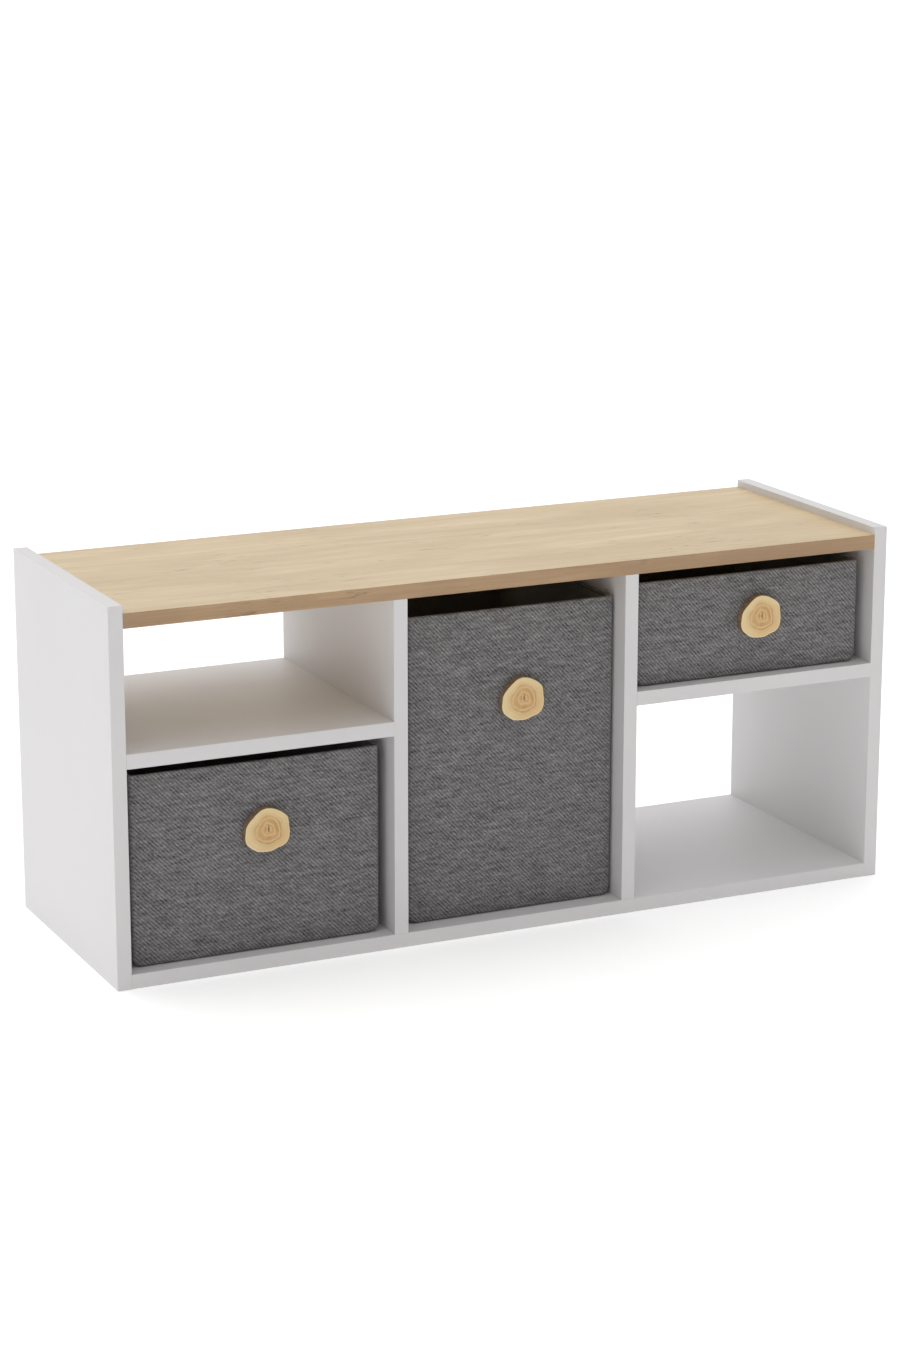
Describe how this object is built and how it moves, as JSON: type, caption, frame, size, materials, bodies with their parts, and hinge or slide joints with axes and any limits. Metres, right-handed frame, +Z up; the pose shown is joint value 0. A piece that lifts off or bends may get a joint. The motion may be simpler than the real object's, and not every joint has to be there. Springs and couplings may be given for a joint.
{
  "type": "toy cabinet",
  "caption": "Low open-backed toy cabinet with an oak-look top between raised white sides, open cubbies and grey fabric bins that slide out by tree-slice knobs.",
  "frame": {"origin": "on the floor under the middle of the cabinet", "axes": "+X to the right seen from the front, +Y to the back, +Z up"},
  "size_m": [1.038, 0.345, 0.461],
  "materials": {
    "white_melamine": "white melamine-faced particle board, satin",
    "oak_melamine": "oak-look melamine-faced particle board, satin",
    "white_edge_band": "white edge band, satin",
    "oak_edge_band": "oak-look edge band, satin",
    "grey_fabric": "grey melange twill, matte",
    "black_lining": "black non-woven lining, matte",
    "stiffener_board": "grey board, matte",
    "tree_slice": "sanded branch slice with bark edge",
    "beech": "bare beech",
    "zinc": "die-cast zinc",
    "steel": "zinc-plated steel"
  },
  "bodies": {
    "cabinet": {"left_side_panel": "white_melamine", "left_side_panel_edge_band": "white_edge_band", "right_side_panel": "white_melamine", "right_side_panel_edge_band": "white_edge_band", "top_panel": "oak_melamine", "top_panel_edge_band": "oak_edge_band", "bottom_panel": "white_melamine", "bottom_panel_edge_band": "white_edge_band", "left_divider": "white_melamine", "left_divider_edge_band": "white_edge_band", "right_divider": "white_melamine", "right_divider_edge_band": "white_edge_band", "left_shelf": "white_melamine", "left_shelf_edge_band": "white_edge_band", "right_shelf": "white_melamine", "right_shelf_edge_band": "white_edge_band", "cam_housings": "zinc", "cam_bolts": "steel", "wood_dowels": "beech", "divider_foot_screws": "steel"},
    "left_bin": {"left_bin_cover": "grey_fabric", "left_bin_lining": "black_lining", "left_bin_knob": "tree_slice", "left_bin_knob_screw": "steel", "left_bin_knob_washer": "steel", "left_bin_front_board": "stiffener_board", "left_bin_back_board": "stiffener_board", "left_bin_left_board": "stiffener_board", "left_bin_right_board": "stiffener_board", "left_bin_base_board": "stiffener_board"},
    "centre_bin": {"centre_bin_cover": "grey_fabric", "centre_bin_lining": "black_lining", "centre_bin_knob": "tree_slice", "centre_bin_knob_screw": "steel", "centre_bin_knob_washer": "steel", "centre_bin_front_board": "stiffener_board", "centre_bin_back_board": "stiffener_board", "centre_bin_left_board": "stiffener_board", "centre_bin_right_board": "stiffener_board", "centre_bin_base_board": "stiffener_board"},
    "right_bin": {"right_bin_cover": "grey_fabric", "right_bin_lining": "black_lining", "right_bin_knob": "tree_slice", "right_bin_knob_screw": "steel", "right_bin_knob_washer": "steel", "right_bin_front_board": "stiffener_board", "right_bin_back_board": "stiffener_board", "right_bin_left_board": "stiffener_board", "right_bin_right_board": "stiffener_board", "right_bin_base_board": "stiffener_board"}
  },
  "joints": [
    {"name": "left_bin_slide", "type": "slide", "parent": "cabinet", "child": "left_bin", "axis": [0, -1, 0], "range_m": [-0.015, 0.335]},
    {"name": "centre_bin_slide", "type": "slide", "parent": "cabinet", "child": "centre_bin", "axis": [0, -1, 0], "range_m": [-0.009, 0.341]},
    {"name": "right_bin_slide", "type": "slide", "parent": "cabinet", "child": "right_bin", "axis": [0, -1, 0], "range_m": [-0.016, 0.334]}
  ]
}
